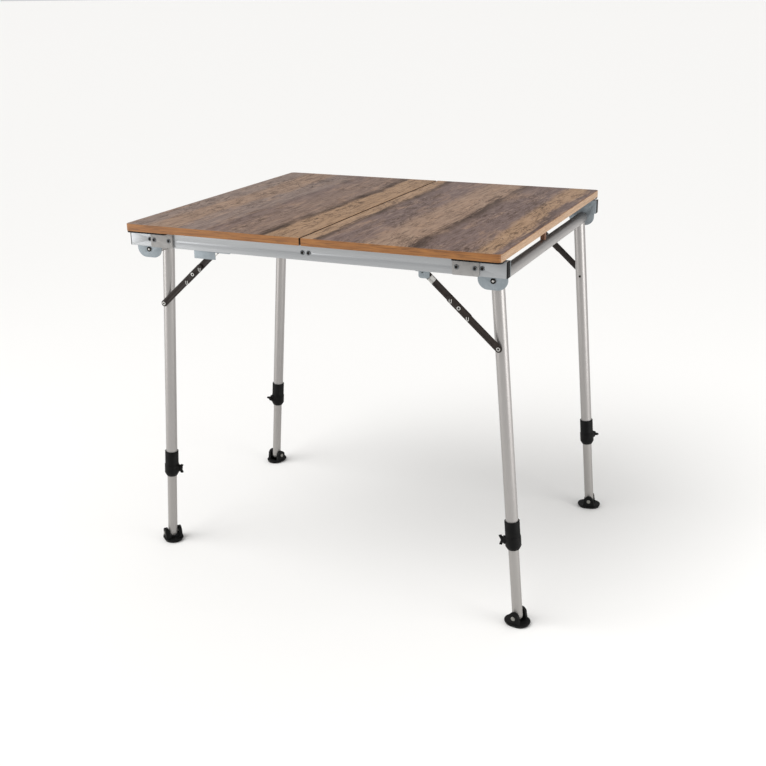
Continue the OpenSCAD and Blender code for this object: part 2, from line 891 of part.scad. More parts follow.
module foot_pin_br() { foot_pin(right, back); }
module brace_upper_fl() { brace_upper(left, front); }
module brace_upper_fr() { brace_upper(right, front); }
module brace_upper_bl() { brace_upper(left, back); }
module brace_upper_br() { brace_upper(right, back); }
module brace_lower_fl() { brace_lower(left, front); }
module brace_lower_fr() { brace_lower(right, front); }
module brace_lower_bl() { brace_lower(left, back); }
module brace_lower_br() { brace_lower(right, back); }

board_left();
board_right();
rail_front();
rail_back();
end_caps();
crossmember();
corner_plate_fl();
corner_plate_fr();
corner_plate_bl();
corner_plate_br();
pivot_plate_fl();
pivot_plate_fr();
pivot_plate_bl();
pivot_plate_br();
frame_rivets();
rest_block_left();
rest_block_right();
bracket_fl();
bracket_fr();
bracket_bl();
bracket_br();
bracket_pins();
cross_tube_left();
cross_tube_right();
hinge_studs_left();
hinge_studs_right();
leg_tube_fl();
leg_tube_fr();
leg_tube_bl();
leg_tube_br();
clamp_fl();
clamp_fr();
clamp_bl();
clamp_br();
wing_screw_fl();
wing_screw_fr();
wing_screw_bl();
wing_screw_br();
lower_tube_fl();
lower_tube_fr();
lower_tube_bl();
lower_tube_br();
foot_fl();
foot_fr();
foot_bl();
foot_br();
foot_pin_fl();
foot_pin_fr();
foot_pin_bl();
foot_pin_br();
brace_upper_fl();
brace_upper_fr();
brace_upper_bl();
brace_upper_br();
brace_lower_fl();
brace_lower_fr();
brace_lower_bl();
brace_lower_br();
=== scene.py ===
# %% [markdown]
# A folding camping table, dressed for its portrait
#
# The table's shape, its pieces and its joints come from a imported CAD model. This lesson
# loads that model as a fixed frame and gives it looks: wood-print laminate boards with a
# coloured edge band, drawn aluminium rails and tubes, zinc-plated plates, painted brace
# bars and black moulded clamps and feet. Pieces whose CAD form is already right keep it
# and only get a material; pieces with softer edges or finer detail are modelled here.
# Lengths are in metres, X runs along the table, Y from front to back and Z up. Sizes that
# the frame holds are read from it: from the box of a node, or from the place of a joint.

# %% Load the frame
import json
import math

import bmesh
import bpy
from mathutils import Matrix, Vector


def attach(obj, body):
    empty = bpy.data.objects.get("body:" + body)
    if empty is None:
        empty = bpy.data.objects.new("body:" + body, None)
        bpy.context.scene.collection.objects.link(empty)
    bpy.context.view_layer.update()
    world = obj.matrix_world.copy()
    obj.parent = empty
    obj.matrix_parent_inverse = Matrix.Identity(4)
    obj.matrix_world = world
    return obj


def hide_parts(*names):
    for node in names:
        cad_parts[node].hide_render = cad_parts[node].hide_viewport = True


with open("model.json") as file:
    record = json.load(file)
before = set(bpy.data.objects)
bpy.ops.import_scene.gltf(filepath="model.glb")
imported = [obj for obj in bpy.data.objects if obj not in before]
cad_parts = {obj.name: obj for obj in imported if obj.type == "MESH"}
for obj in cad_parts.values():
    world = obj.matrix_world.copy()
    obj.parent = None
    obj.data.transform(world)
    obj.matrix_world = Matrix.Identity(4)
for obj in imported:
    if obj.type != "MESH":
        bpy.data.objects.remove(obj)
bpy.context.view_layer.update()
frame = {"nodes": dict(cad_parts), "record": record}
nodes = frame["nodes"]
behaviour = frame["record"]["behaviour"]
body_of = {node: body for body, members in behaviour["bodies"].items() for node in members}
joints = {row["name"]: row for row in behaviour["joints"]}
MM = 0.001


def box_of(node):
    """The lowest and the highest corner of a CAD node."""
    points = [nodes[node].matrix_world @ vertex.co for vertex in nodes[node].data.vertices]
    return [Vector([end(point[i] for point in points) for i in range(3)]) for end in (min, max)]


print("pieces in the frame:", len(nodes))

# %% [markdown]
# The camera stands in front of the table's right half, a little above the top and two
# and a half metres away. Its matrix is built from three angles: how far it is turned to
# the left, how far it looks down, and a slight roll. The lens is written as a focal
# length in pixels of the square picture, because that is what a measured view gives,
# and turned to millimetres for Blender's 36 mm sensor.

# %% Camera
FRAME_PX, FOCAL_PX, SENSOR_MM = 766, 1102.6, 36
TURN, DOWN, ROLL = 0.41457, 0.33458, -0.01285
CAMERA_AT = Vector((0.99199, -2.15286, 1.20674))
SHIFT = (-0.01952, -0.01208)

look = Vector((-math.sin(TURN) * math.cos(DOWN), math.cos(TURN) * math.cos(DOWN),
               -math.sin(DOWN)))
level_right = Vector((math.cos(TURN), math.sin(TURN), 0))
level_up = level_right.cross(look)
right = math.cos(ROLL) * level_right + math.sin(ROLL) * level_up
up = math.cos(ROLL) * level_up - math.sin(ROLL) * level_right
aim = Matrix((right, up, -look)).transposed().to_4x4()

camera_data = bpy.data.cameras.new("camera")
camera_data.sensor_width = SENSOR_MM
camera_data.lens = FOCAL_PX / FRAME_PX * SENSOR_MM
camera_data.shift_x, camera_data.shift_y = SHIFT
camera = bpy.data.objects.new("camera", camera_data)
camera.matrix_world = Matrix.Translation(CAMERA_AT) @ aim
bpy.context.scene.collection.objects.link(camera)
bpy.context.scene.camera = camera
print("lens", round(camera_data.lens, 2), "mm")

# %% [markdown]
# Materials are node trees. Two small helpers keep them short: one turns an sRGB hex
# colour, as read off a paint chart, into the linear values that the renderer works
# with; the other adds a node, sets its fields and connects its inputs.

# %% Colours and nodes
def linear(code):
    """sRGB hex colour to linear RGBA."""
    parts = [int(code[i:i + 2], 16) / 255 for i in (1, 3, 5)]
    return [p / 12.92 if p <= 0.04045 else ((p + 0.055) / 1.055) ** 2.4 for p in parts] + [1]


def add(tree, kind, links=None, **settings):
    """Adds a node; settings are its fields or input values, links its inputs' sources."""
    node = tree.nodes.new("ShaderNode" + kind)
    for name, value in settings.items():
        if hasattr(node, name):
            setattr(node, name, value)
        else:
            node.inputs[name.replace("_", " ")].default_value = value
    for name, source in (links or {}).items():
        tree.links.new(source, node.inputs[name])
    return node


def new_material(name, **shader):
    """A material with its shader, and the object's own coordinates."""
    material = bpy.data.materials.new(name)
    material.use_nodes = True
    tree = material.node_tree
    bsdf = tree.nodes["Principled BSDF"]
    for key, value in shader.items():
        bsdf.inputs[key.replace("_", " ")].default_value = value
    place = tree.nodes.new("ShaderNodeTexCoord").outputs["Object"]
    return material, tree, bsdf, place


# %% [markdown]
# The patterns are all made of the same few steps: coordinates are scaled, a noise is
# drawn on them, its values are stretched to the range that is needed, and they mix two
# colours or press into the surface as bumps. Each step gets a short name here. A scale is
# always in repeats per metre, so a scale of 1000 draws lines a millimetre apart.

# %% Steps of a pattern
MIX_FACTOR, MIX_A, MIX_B, MIXED = 0, 6, 7, 2  # where a Mix node keeps its colour sockets


def scaled(tree, place, scale, rotation=(0, 0, 0), location=(0, 0, 0)):
    """Coordinates turned and scaled; one number scales all three directions."""
    if isinstance(scale, (int, float)):
        scale = (scale, scale, scale)
    return add(tree, "Mapping", {"Vector": place}, Scale=scale, Rotation=rotation,
               Location=location).outputs["Vector"]


def noise(tree, vector, detail=4, roughness=0.55, distortion=0):
    return add(tree, "TexNoise", {"Vector": vector}, Scale=1, Detail=detail,
               Roughness=roughness, Distortion=distortion).outputs["Fac"]


def spread(tree, value, low, high, to_low=0, to_high=1):
    """Stretches the values between low and high to a new range, and clamps them."""
    return add(tree, "MapRange", {"Value": value}, From_Min=low, From_Max=high,
               To_Min=to_low, To_Max=to_high).outputs["Result"]


def calculate(tree, operation, *values):
    """A Math node; each value is a number or another node's output."""
    node = add(tree, "Math", operation=operation)
    for socket, value in zip(node.inputs, values):
        if isinstance(value, (int, float)):
            socket.default_value = value
        else:
            tree.links.new(value, socket)
    return node.outputs["Value"]


def mix(tree, factor, a, b):
    """Mixes two colours; each may be a hex colour or another node's output."""
    node = add(tree, "Mix", data_type="RGBA")
    for slot, value in ((MIX_FACTOR, factor), (MIX_A, a), (MIX_B, b)):
        if isinstance(value, str):
            node.inputs[slot].default_value = linear(value)
        else:
            tree.links.new(value, node.inputs[slot])
    return node.outputs[MIXED]


def ramp(tree, source, stops):
    """A colour ramp from (place, hex colour) pairs."""
    node = add(tree, "ValToRGB", {"Fac": source})
    elements = node.color_ramp.elements
    while len(elements) < len(stops):
        elements.new(1)
    for element, (position, code) in zip(elements, stops):
        element.position, element.color = position, linear(code)
    return node.outputs["Color"]


def bump(tree, bsdf, height, strength, distance):
    node = add(tree, "Bump", {"Height": height}, Strength=strength, Distance=distance)
    tree.links.new(node.outputs["Normal"], bsdf.inputs["Normal"])


# %% [markdown]
# The floor is a plain pale sheet, and the light is soft and even, as in a product
# studio: a bright surround, a broad distant lamp that whitens the whole floor, and two
# upright panels at the sides that draw bright bands along the tubes. Nothing of it
# belongs to the table. The picture's look is Blender's plain view of the light, without
# a film curve, so that a colour read off the real object comes back as the same colour.

# %% Stage and light
FLOOR_SIZE = 400
WORLD_STRENGTH = 0.64
SUN_STRENGTH, SUN_SPREAD, SUN_FROM = 1.6, math.radians(50), Vector((-0.5, -0.55, 1))
# Each panel: its place, its width and height, and its watts.
PANELS = {"left_panel": ((-2.2, -1.5, 0.7), (1.4, 1.6), 17),
          "right_panel": ((2.4, -0.3, 0.7), (1.4, 1.6), 22)}


def hang(lamp, shining):
    """Puts a lamp into the scene, shining in a direction."""
    lamp_object = bpy.data.objects.new(lamp.name, lamp)
    lamp_object.rotation_euler = shining.to_track_quat("-Z", "Y").to_euler()
    bpy.context.scene.collection.objects.link(lamp_object)
    return lamp_object


bpy.ops.object.select_all(action="DESELECT")
bpy.ops.mesh.primitive_plane_add(size=FLOOR_SIZE, location=(0, 0, 0))
floor = bpy.context.object
floor.name = "studio_floor"
floor.data.materials.append(new_material("matt white studio paper", Roughness=0.9,
                                         Base_Color=linear("#F4F3F1"))[0])

world = bpy.data.worlds.new("studio")
world.use_nodes = True
surround = world.node_tree.nodes["Background"]
surround.inputs["Color"].default_value = (1, 1, 1, 1)
surround.inputs["Strength"].default_value = WORLD_STRENGTH
bpy.context.scene.world = world

sun = bpy.data.lights.new("sun_lamp", "SUN")
sun.energy, sun.angle = SUN_STRENGTH, SUN_SPREAD
hang(sun, -SUN_FROM)
for name, (place, size, watts) in PANELS.items():
    panel = bpy.data.lights.new(name, "AREA")
    panel.shape, (panel.size, panel.size_y), panel.energy = "RECTANGLE", size, watts
    hang(panel, Vector((-place[0], -place[1], 0))).location = place
bpy.context.scene.view_settings.view_transform = "Standard"
print("lamps:", ["sun_lamp", *PANELS])

# %% [markdown]
# The top is a wood-print laminate: old planks side by side, running from front to back,
# some grey and some tan, with dark gnarled streaks where they meet. A colour ramp across
# the table gives each plank its tone. The coordinate that feeds it is pushed about by a
# slow noise and by the fibres, so the planks' edges wander and fray as old wood does.

# %% Planks
TONES = {"grey": "#8A7970", "ash": "#88776F", "brown": "#857065", "umber": "#776560",
         "tan": "#A3856A", "sand": "#987F6D", "dark": "#655248"}
# Where each tone stands, in millimetres from the seam.
PLANKS = [(-400, "grey"), (-350, "grey"), (-336, "sand"), (-285, "sand"), (-270, "ash"),
          (-218, "ash"), (-206, "umber"), (-150, "brown"), (-95, "brown"), (-76, "dark"),
          (-64, "tan"), (24, "tan"), (36, "dark"), (50, "umber"), (120, "umber"),
          (150, "sand"), (216, "sand"), (228, "dark"), (250, "umber"), (328, "umber"),
          (343, "tan"), (376, "tan"), (386, "umber")]
# How dark the streak between two planks is, from 0 to 1, at places in millimetres.
STREAKS = [(-222, 0), (-205, 0.7), (-200, 0), (-92, 0), (-72, 1), (-68, 0), (30, 0),
           (34, 1), (50, 0), (225, 0), (229, 1), (256, 0.3), (290, 0), (382, 0),
           (386, 0.8), (396, 0)]
WANDER, FRAY = 15 * MM, 6 * MM
BOARD_LOW, BOARD_HIGH = box_of("board_right")
HALF_TOP = BOARD_HIGH.x


def stops_across(rows):
    """Turns places in millimetres from the seam into places on a ramp."""
    return [(0.5 + x * MM / (2 * HALF_TOP), code) for x, code in rows]


def grey(value):
    return "#" + 3 * f"{round(255 * value):02X}"


def place_across(tree, place):
    """The place across the table, from 0 to 1, and the fibres that fray it."""
    wander = noise(tree, scaled(tree, place, (7, 3.5, 7)), detail=6, roughness=0.62)
    fibres = noise(tree, scaled(tree, place, (190, 17, 190)), detail=6, roughness=0.7,
                   distortion=0.3)
    across = add(tree, "SeparateXYZ", {"Vector": place}).outputs["X"]
    for pattern, reach in ((wander, WANDER), (fibres, FRAY)):
        across = calculate(tree, "ADD", across, spread(tree, pattern, 0.3, 0.7, -reach, reach))
    return spread(tree, across, -HALF_TOP, HALF_TOP), fibres


print("planks:", len(PLANKS), "stops over", round(2 * HALF_TOP / MM), "mm")

# %% [markdown]
# Over the planks' tones lie pale patches, fibres about five millimetres apart, dark
# gnarls, and thin veins, which are the places where a slow noise crosses its middle
# value. Each is one layer: a factor that says where it shows, and its colour. The print
# is matt, so the shader's specular level is low.

# %% Laminate
NOISE_MIDDLE = 0.5


def laminate():
    material, tree, bsdf, place = new_material("wood print melamine laminate",
                                               Specular_IOR_Level=0.12)
    across, fibres = place_across(tree, place)
    tone = ramp(tree, across, stops_across([(x, TONES[word]) for x, word in PLANKS]))
    streak = ramp(tree, across, stops_across([(x, grey(value)) for x, value in STREAKS]))
    pale = noise(tree, scaled(tree, place, (26, 7, 26), location=(3, 1, 0)), detail=7,
                 roughness=0.7, distortion=0.6)
    where = noise(tree, scaled(tree, place, (15, 5, 15), location=(0, 5, 0)), detail=3)
    gnarl = noise(tree, scaled(tree, place, (60, 20, 60), location=(0, 5, 0)), detail=9,
                  roughness=0.78, distortion=1.6)
    slow = noise(tree, scaled(tree, place, (34, 9, 34)), roughness=0.65, distortion=1.2)
    crossing = calculate(tree, "ABSOLUTE", calculate(tree, "SUBTRACT", slow, NOISE_MIDDLE))
    patchy = noise(tree, scaled(tree, place, (10, 9, 10), location=(7, 0, 0)))
    knots = calculate(tree, "MULTIPLY", spread(tree, where, 0.42, 0.6, 0.12, 0.95),
                      spread(tree, gnarl, 0.50, 0.66))
    veins = calculate(tree, "MULTIPLY", spread(tree, crossing, 0.004, 0.022, 1, 0),
                      spread(tree, where, 0.38, 0.6, 0.08, 0.7))
    between = calculate(tree, "MULTIPLY", streak, spread(tree, patchy, 0.40, 0.60, 0.1, 0.9))
    for factor, colour in ((spread(tree, pale, 0.50, 0.72, 0, 0.6), "#B3937A"),
                           (spread(tree, fibres, 0.50, 0.70, 0, 0.8), "#4B392E"),
                           (spread(tree, fibres, 0.46, 0.28, 0, 0.45), "#B7A18B"),
                           (knots, "#3C2C24"), (veins, "#44342B"), (between, "#35271F")):
        tone = mix(tree, factor, tone, colour)
    tree.links.new(tone, bsdf.inputs["Base Color"])
    tree.links.new(spread(tree, gnarl, 0.3, 0.7, 0.55, 0.72), bsdf.inputs["Roughness"])
    bump(tree, bsdf, gnarl, 0.3, 0.0004)
    return material


laminate_top = laminate()
print(laminate_top.name, len(laminate_top.node_tree.nodes), "nodes")

# %% [markdown]
# The long edges of the boards, and the seam between them, are covered by a thin plastic
# band with a printed wood colour, an orange brown with fine darker lines along it. At
# the table's ends the band is a paler tan. At the seam the band is coloured a dark brown,
# which is painted shade for the narrow gap between the boards. The underside has a backing
# sheet, as laminated boards do so that they stay flat; its dark brown is painted shade, for
# the shadow under the top that the tubes below reflect. The patterns are noise stretched
# along the board's edges, with lines about a millimetre apart.

# %% Edge band and backing
def edge_banding(name, light, mid, dark):
    material, tree, bsdf, place = new_material(name, Roughness=0.5)
    lines = noise(tree, scaled(tree, place, (30, 30, 700)), roughness=0.6)
    patches = noise(tree, scaled(tree, place, (14, 14, 160)))
    tone = mix(tree, spread(tree, patches, 0.35, 0.65), mid, light)
    tone = mix(tree, spread(tree, lines, 0.46, 0.66, 0, 0.8), tone, dark)
    tree.links.new(tone, bsdf.inputs["Base Color"])
    bump(tree, bsdf, lines, 0.15, 0.0002)
    return material


def backing():
    material, tree, bsdf, place = new_material("laminate backing in painted shade", Roughness=0.6)
    mottle = noise(tree, scaled(tree, place, 60), detail=5, roughness=0.6)
    # These dark browns are painted shade, for the shadow under the top that the tubes below
    # reflect.
    tone = mix(tree, spread(tree, mottle, 0.3, 0.7), "#3A322D", "#463D37")
    tree.links.new(tone, bsdf.inputs["Base Color"])
    bump(tree, bsdf, noise(tree, scaled(tree, place, 900), detail=2), 0.2, 0.0002)
    return material


long_band = edge_banding("printed edge band", "#9C6832", "#8B5827", "#633C1A")
end_band = edge_banding("printed edge band at the ends", "#B99878", "#A98767", "#8A6A4E")
# The seam's dark browns are painted shade, for the narrow gap between the boards.
seam_band_painted_shade = edge_banding("seam edge in painted shade", "#5B4434", "#4C3829", "#33251B")
backing_in_painted_shade = backing()
print("bands:", [band.name for band in (long_band, end_band, seam_band_painted_shade)])

# %% [markdown]
# Aluminium comes in three finishes here. The rails and the crossmember are extruded, so
# faint lines run along them from the die. The upper legs and the cross tubes are drawn
# and satin anodised, which leaves a softer grain along the tube. The lower tubes are
# matt and paler. One function serves them all: it turns the coordinates until the
# grain's direction is along the local Z axis, then stretches a noise along it. How far
# the legs lean comes from the direction in which they slide.

# %% Aluminium
leg_rise = joints["leg_length_fl"]["axis"]
LEG_SPLAY = math.atan2(leg_rise[0], leg_rise[2])
QUARTER = math.radians(90)
ALONG = {"x": (0, QUARTER, 0), "y": (QUARTER, 0, 0),
         "left": (0, LEG_SPLAY, 0), "right": (0, -LEG_SPLAY, 0)}


def aluminium(name, along, light, dark, grain, roughness, metallic, strength):
    """Aluminium with a grain along one direction; grain is in lines per metre."""
    material, tree, bsdf, place = new_material(name, Metallic=metallic, Roughness=roughness)
    turned_place = scaled(tree, place, 1, rotation=ALONG[along])
    lines = noise(tree, scaled(tree, turned_place, (grain, grain, 2)), detail=3, roughness=0.6)
    cloud = noise(tree, scaled(tree, turned_place, (40, 40, 8)), detail=3)
    tone = mix(tree, spread(tree, lines, 0.2, 0.8), dark, light)
    tone = mix(tree, spread(tree, cloud, 0.4, 0.7, 0, 0.25), tone, dark)
    tree.links.new(tone, bsdf.inputs["Base Color"])
    tree.links.new(spread(tree, lines, 0.2, 0.8, roughness - 0.04, roughness + 0.05),
                   bsdf.inputs["Roughness"])
    bump(tree, bsdf, lines, strength, 0.0001)
    return material


extruded = {axis: aluminium("extruded aluminium along " + axis, axis, "#ABADAF", "#A1A3A5",
                            700, 0.38, 0.65, 0.05) for axis in ("x", "y")}
drawn = {axis: aluminium("satin anodised tube along " + axis, axis, "#A9A6A4", "#9E9B99",
                         900, 0.36, 0.85, 0.04) for axis in ("y", "left", "right")}
matt = {axis: aluminium("matt anodised tube along " + axis, axis, "#A3A09D", "#9B9895",
                        1400, 0.42, 0.6, 0.03) for axis in ("left", "right")}
print("legs lean", round(math.degrees(LEG_SPLAY), 2), "degrees")

# %% [markdown]
# The hinge plates and the brackets are galvanised steel: a bluish grey with faint
# crystal patches a few millimetres wide. The plates over the rails' ends have the same
# patches in a more neutral grey. The rivets are plated, the brace bars have a
# brown-black paint, and their small parts are bare nickel-plated steel.

# %% Steel
def galvanised(name, light, mid, dark, metallic, roughness):
    material, tree, bsdf, place = new_material(name, Metallic=metallic)
    crystal = add(tree, "TexVoronoi", {"Vector": place}, Scale=160).outputs["Color"]
    patch = add(tree, "SeparateColor", {"Color": crystal}).outputs["Red"]
    haze = noise(tree, scaled(tree, place, 90))
    tone = mix(tree, spread(tree, patch, 0, 1), mid, light)
    tone = mix(tree, spread(tree, haze, 0.45, 0.7, 0, 0.5), tone, dark)
    tree.links.new(tone, bsdf.inputs["Base Color"])
    tree.links.new(spread(tree, patch, 0, 1, roughness, roughness + 0.1),
                   bsdf.inputs["Roughness"])
    bump(tree, bsdf, haze, 0.05, 0.0003)
    return material


def plated(name, light, dark, roughness):
    material, tree, bsdf, place = new_material(name, Metallic=1, Roughness=roughness)
    haze = noise(tree, scaled(tree, place, 400), roughness=0.6)
    tone = mix(tree, spread(tree, haze, 0.3, 0.7), dark, light)
    tree.links.new(tone, bsdf.inputs["Base Color"])
    tree.links.new(spread(tree, haze, 0.3, 0.7, roughness - 0.06, roughness + 0.1),
                   bsdf.inputs["Roughness"])
    return material


def stoved_paint():
    material, tree, bsdf, place = new_material("stoved brown black paint", Roughness=0.42,
                                               Specular_IOR_Level=0.25)
    cloud = noise(tree, scaled(tree, place, 120), detail=5, roughness=0.65)
    dust = noise(tree, scaled(tree, place, 1500), detail=2)
    tone = mix(tree, spread(tree, cloud, 0.35, 0.7), "#1F1814", "#2D241F")
    tone = mix(tree, spread(tree, dust, 0.6, 0.75, 0, 0.35), tone, "#40352E")
    tree.links.new(tone, bsdf.inputs["Base Color"])
    tree.links.new(spread(tree, cloud, 0.3, 0.7, 0.36, 0.52), bsdf.inputs["Roughness"])
    bump(tree, bsdf, dust, 0.12, 0.0002)
    return material


zinc = galvanised("galvanised sheet steel", "#969EA3", "#8D959A", "#838C92", 0.6, 0.45)
plate_zinc = galvanised("passivated zinc plate", "#A09E9C", "#979593", "#8D8B89", 0.4, 0.55)
nickel = plated("nickel plated steel", "#C4C3C0", "#ABAAA7", 0.28)
pin_grey = plated("dull plated pin", "#96958F", "#7E7D79", 0.38)
rivet_grey = plated("zinc plated rivet", "#7C7F82", "#66696B", 0.42)
# A dark grey for the set end inside the leg; the same colour is painted shade in the hollow cores
# of the rivets and caps and in the studs' grooves.
dark_end_and_painted_shade = plated("dark set end and painted shade in rivet hollows", "#33302E", "#242220", 0.5)
paint = stoved_paint()
print("steels:", [steel.name for steel in (zinc, plate_zinc, nickel, pin_grey, rivet_grey)])

# %% [markdown]
# The clamps, the wing screws, the feet and the rail's caps are injection-moulded
# nylon, black with the fine grain of a spark-eroded mould, and slightly shiny where
# hands and floors have rubbed it. The rest blocks are the same plastic in dark brown.

# %% Moulded plastic
def moulded(name, dark, light, roughness):
    material, tree, bsdf, place = new_material(name, Roughness=roughness,
                                               Specular_IOR_Level=0.16)
    grain = noise(tree, scaled(tree, place, 1600), detail=2, roughness=0.5)
    rub = noise(tree, scaled(tree, place, 70), roughness=0.6)
    tone = mix(tree, spread(tree, rub, 0.4, 0.75), dark, light)
    tree.links.new(tone, bsdf.inputs["Base Color"])
    tree.links.new(spread(tree, rub, 0.35, 0.7, roughness + 0.1, roughness - 0.08),
                   bsdf.inputs["Roughness"])
    bump(tree, bsdf, grain, 0.3, 0.0003)
    return material


nylon = moulded("moulded black nylon", "#030303", "#090808", 0.55)
brown_nylon = moulded("moulded brown nylon", "#6B4A38", "#7A5744", 0.48)
print("plastics:", nylon.name, "and", brown_nylon.name)

# %% [markdown]
# A few helpers do the handwork that repeats. `start` begins a piece: everything is
# deselected, because Blender's operators act on all that is selected, and a primitive
# is added at its size and place. `pick_edges` selects the edges that a bevel needs. And
# `hand_over` gives a finished piece to the frame: it rides on its body, and may replace
# the CAD solids that it stands for.

# %% Helpers for pieces
def start(add_primitive, name, **settings):
    bpy.ops.object.select_all(action="DESELECT")
    add_primitive(**settings)
    piece = bpy.context.object
    piece.name = piece.data.name = name
    bpy.ops.object.transform_apply(location=True, rotation=True, scale=True)
    return piece


def pick_edges(piece, test):
    """Selects, in edit mode, the edges of a piece that pass a test."""
    bpy.ops.mesh.select_all(action="DESELECT")
    bpy.ops.mesh.select_mode(type="EDGE")
    mesh = bmesh.from_edit_mesh(piece.data)
    for edge in mesh.edges:
        if test(edge):
            edge.select_set(True)
    mesh.select_flush_mode()
    bmesh.update_edit_mesh(piece.data)


def only(piece):
    """Makes a piece the only selected and the active one."""
    bpy.ops.object.select_all(action="DESELECT")
    piece.select_set(True)
    bpy.context.view_layer.objects.active = piece


def paint_faces(piece, materials, choose=lambda face: 0):
    """Gives a piece its materials; choose(face) says which one each face takes."""
    piece.data.materials.clear()
    for material in materials:
        piece.data.materials.append(material)
    for face in piece.data.polygons:
        face.material_index = choose(face)


def hand_over(piece, body, slot, *replaced, smooth=35):
    only(piece)
    bpy.ops.object.shade_smooth_by_angle(angle=math.radians(smooth))
    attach(piece, body)
    if replaced:
        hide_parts(*replaced)


# %% [markdown]
# The table has four corners, named front or back and left or right. Each pair of letters
# stands for two signs: X is -1 on the left and 1 on the right, Y is -1 at the front and
# 1 at the back.

# %% Corners
CORNERS = ("fl", "fr", "bl", "br")
LEG_FRAME = {-1: "leg_frame_left", 1: "leg_frame_right"}


def side_of(corner):
    return -1 if corner[1] == "l" else 1


def depth_of(corner):
    return -1 if corner[0] == "f" else 1


print("corners:", {corner: (side_of(corner), depth_of(corner)) for corner in CORNERS})

# %% [markdown]
# A board is a sawn panel. It starts as a box; its two outer upright edges are rounded
# to the corner radius, and the rims of both faces get a small arris, as the edge band
# has after trimming. Faces that look up take the laminate, faces that look down the
# backing with its painted shade, faces at the seam the dark seam colour of painted shade,
# and all the rest the band. The arris at the seam is laminate too.

# %% Boards
CORNER_R, ARRIS = 9 * MM, 0.9 * MM
TOP_FACE, UNDER_FACE, LONG_EDGE, END_EDGE, SEAM_EDGE = range(5)


def board_face(side, normal):
    """Which material a face of a board takes, by the way it looks."""
    outwards = side * normal.x
    if normal.z > 0.99:
        return TOP_FACE
    if normal.z < -0.99:
        return UNDER_FACE
    if outwards < -0.95:
        return SEAM_EDGE
    if outwards < -0.3 and normal.z > 0.3:
        return TOP_FACE
    return END_EDGE if outwards > 0.8 else LONG_EDGE


def board(name, side):
    size, middle = BOARD_HIGH - BOARD_LOW, (BOARD_HIGH + BOARD_LOW) / 2
    piece = start(bpy.ops.mesh.primitive_cube_add, name + "_panel", size=1, scale=size,
                  location=(side * middle.x, middle.y, middle.z))
    bpy.ops.object.mode_set(mode="EDIT")
    pick_edges(piece, lambda e: all(abs(v.co.x) > BOARD_HIGH.x - MM for v in e.verts)
               and abs(e.verts[0].co.z - e.verts[1].co.z) > MM)
    bpy.ops.mesh.bevel(offset=CORNER_R, segments=10)
    pick_edges(piece, lambda e: abs(e.verts[0].co.z - e.verts[1].co.z) < MM / 10)
    bpy.ops.mesh.bevel(offset=ARRIS, segments=3)
    bpy.ops.object.mode_set(mode="OBJECT")
    paint_faces(piece, [laminate_top, backing_in_painted_shade, long_band, end_band, seam_band_painted_shade],
                lambda face: board_face(side, face.normal))
    hand_over(piece, "table_top", "wood_laminate", name)
    print(piece.name, len(piece.data.polygons), "faces")


board("board_left", -1)
board("board_right", 1)

# %% [markdown]
# A thin black strip lies between the board and each end of a rail. Only its front edge
# shows, as a dark line above the corner plate. Its outer corner follows the board's.

# %% Black strips
STRIP_X, STRIP_Y, STRIP_T, STRIP_R = (0.306, 0.3995), (0.3346, 0.3512), 2.8 * MM, 8 * MM


def black_strip(corner):
    (near_x, far_x), (near_y, far_y) = STRIP_X, STRIP_Y
    piece = start(bpy.ops.mesh.primitive_cube_add, "rail_black_strip_" + corner, size=1,
                  location=(side_of(corner) * (near_x + far_x) / 2,
                            depth_of(corner) * (near_y + far_y) / 2,
                            BOARD_LOW.z - STRIP_T / 2),
                  scale=(far_x - near_x, far_y - near_y, STRIP_T))
    bpy.ops.object.mode_set(mode="EDIT")
    pick_edges(piece, lambda e: all(abs(v.co.x) > far_x - MM and abs(v.co.y) > far_y - MM
                                    for v in e.verts))
    bpy.ops.mesh.bevel(offset=STRIP_R, segments=8)
    bpy.ops.object.mode_set(mode="OBJECT")
    paint_faces(piece, [nylon])
    hand_over(piece, "table_top", "black_plastic")
    print(piece.name, [round(v / MM, 1) for v in piece.dimensions], "mm")


for corner in CORNERS:
    black_strip(corner)

# %% [markdown]
# Sheet metal, castings and mouldings never have knife edges: shears, dies and moulds
# leave them a few tenths of a millimetre round, and those thin rounds catch the light
# and draw the shape. The CAD solids are sharp, so each of these pieces is copied, its
# loose triangles are merged back into flat faces, and a narrow bevel rounds every edge.

# %% Soft edges
CREASE, FLAT = math.radians(30), math.radians(0.5)
EASE_SEGMENTS = 2


def soften(node, width, material, slot):
    piece = bpy.data.objects.new(node + "_eased", nodes[node].data.copy())
    bpy.context.scene.collection.objects.link(piece)
    only(piece)
    bpy.ops.object.mode_set(mode="EDIT")
    bpy.ops.mesh.select_all(action="SELECT")
    bpy.ops.mesh.remove_doubles(threshold=MM / 1000)
    bpy.ops.mesh.dissolve_limited(angle_limit=FLAT)
    bpy.ops.object.mode_set(mode="OBJECT")
    ease = piece.modifiers.new("ease", "BEVEL")
    ease.width, ease.segments = width, EASE_SEGMENTS
    ease.limit_method, ease.angle_limit = "ANGLE", CREASE
    bpy.ops.object.modifier_apply(modifier="ease")
    paint_faces(piece, [material])
    hand_over(piece, body_of[node], slot, node)
    return piece


def each_corner(kind):
    return [kind + corner for corner in CORNERS]


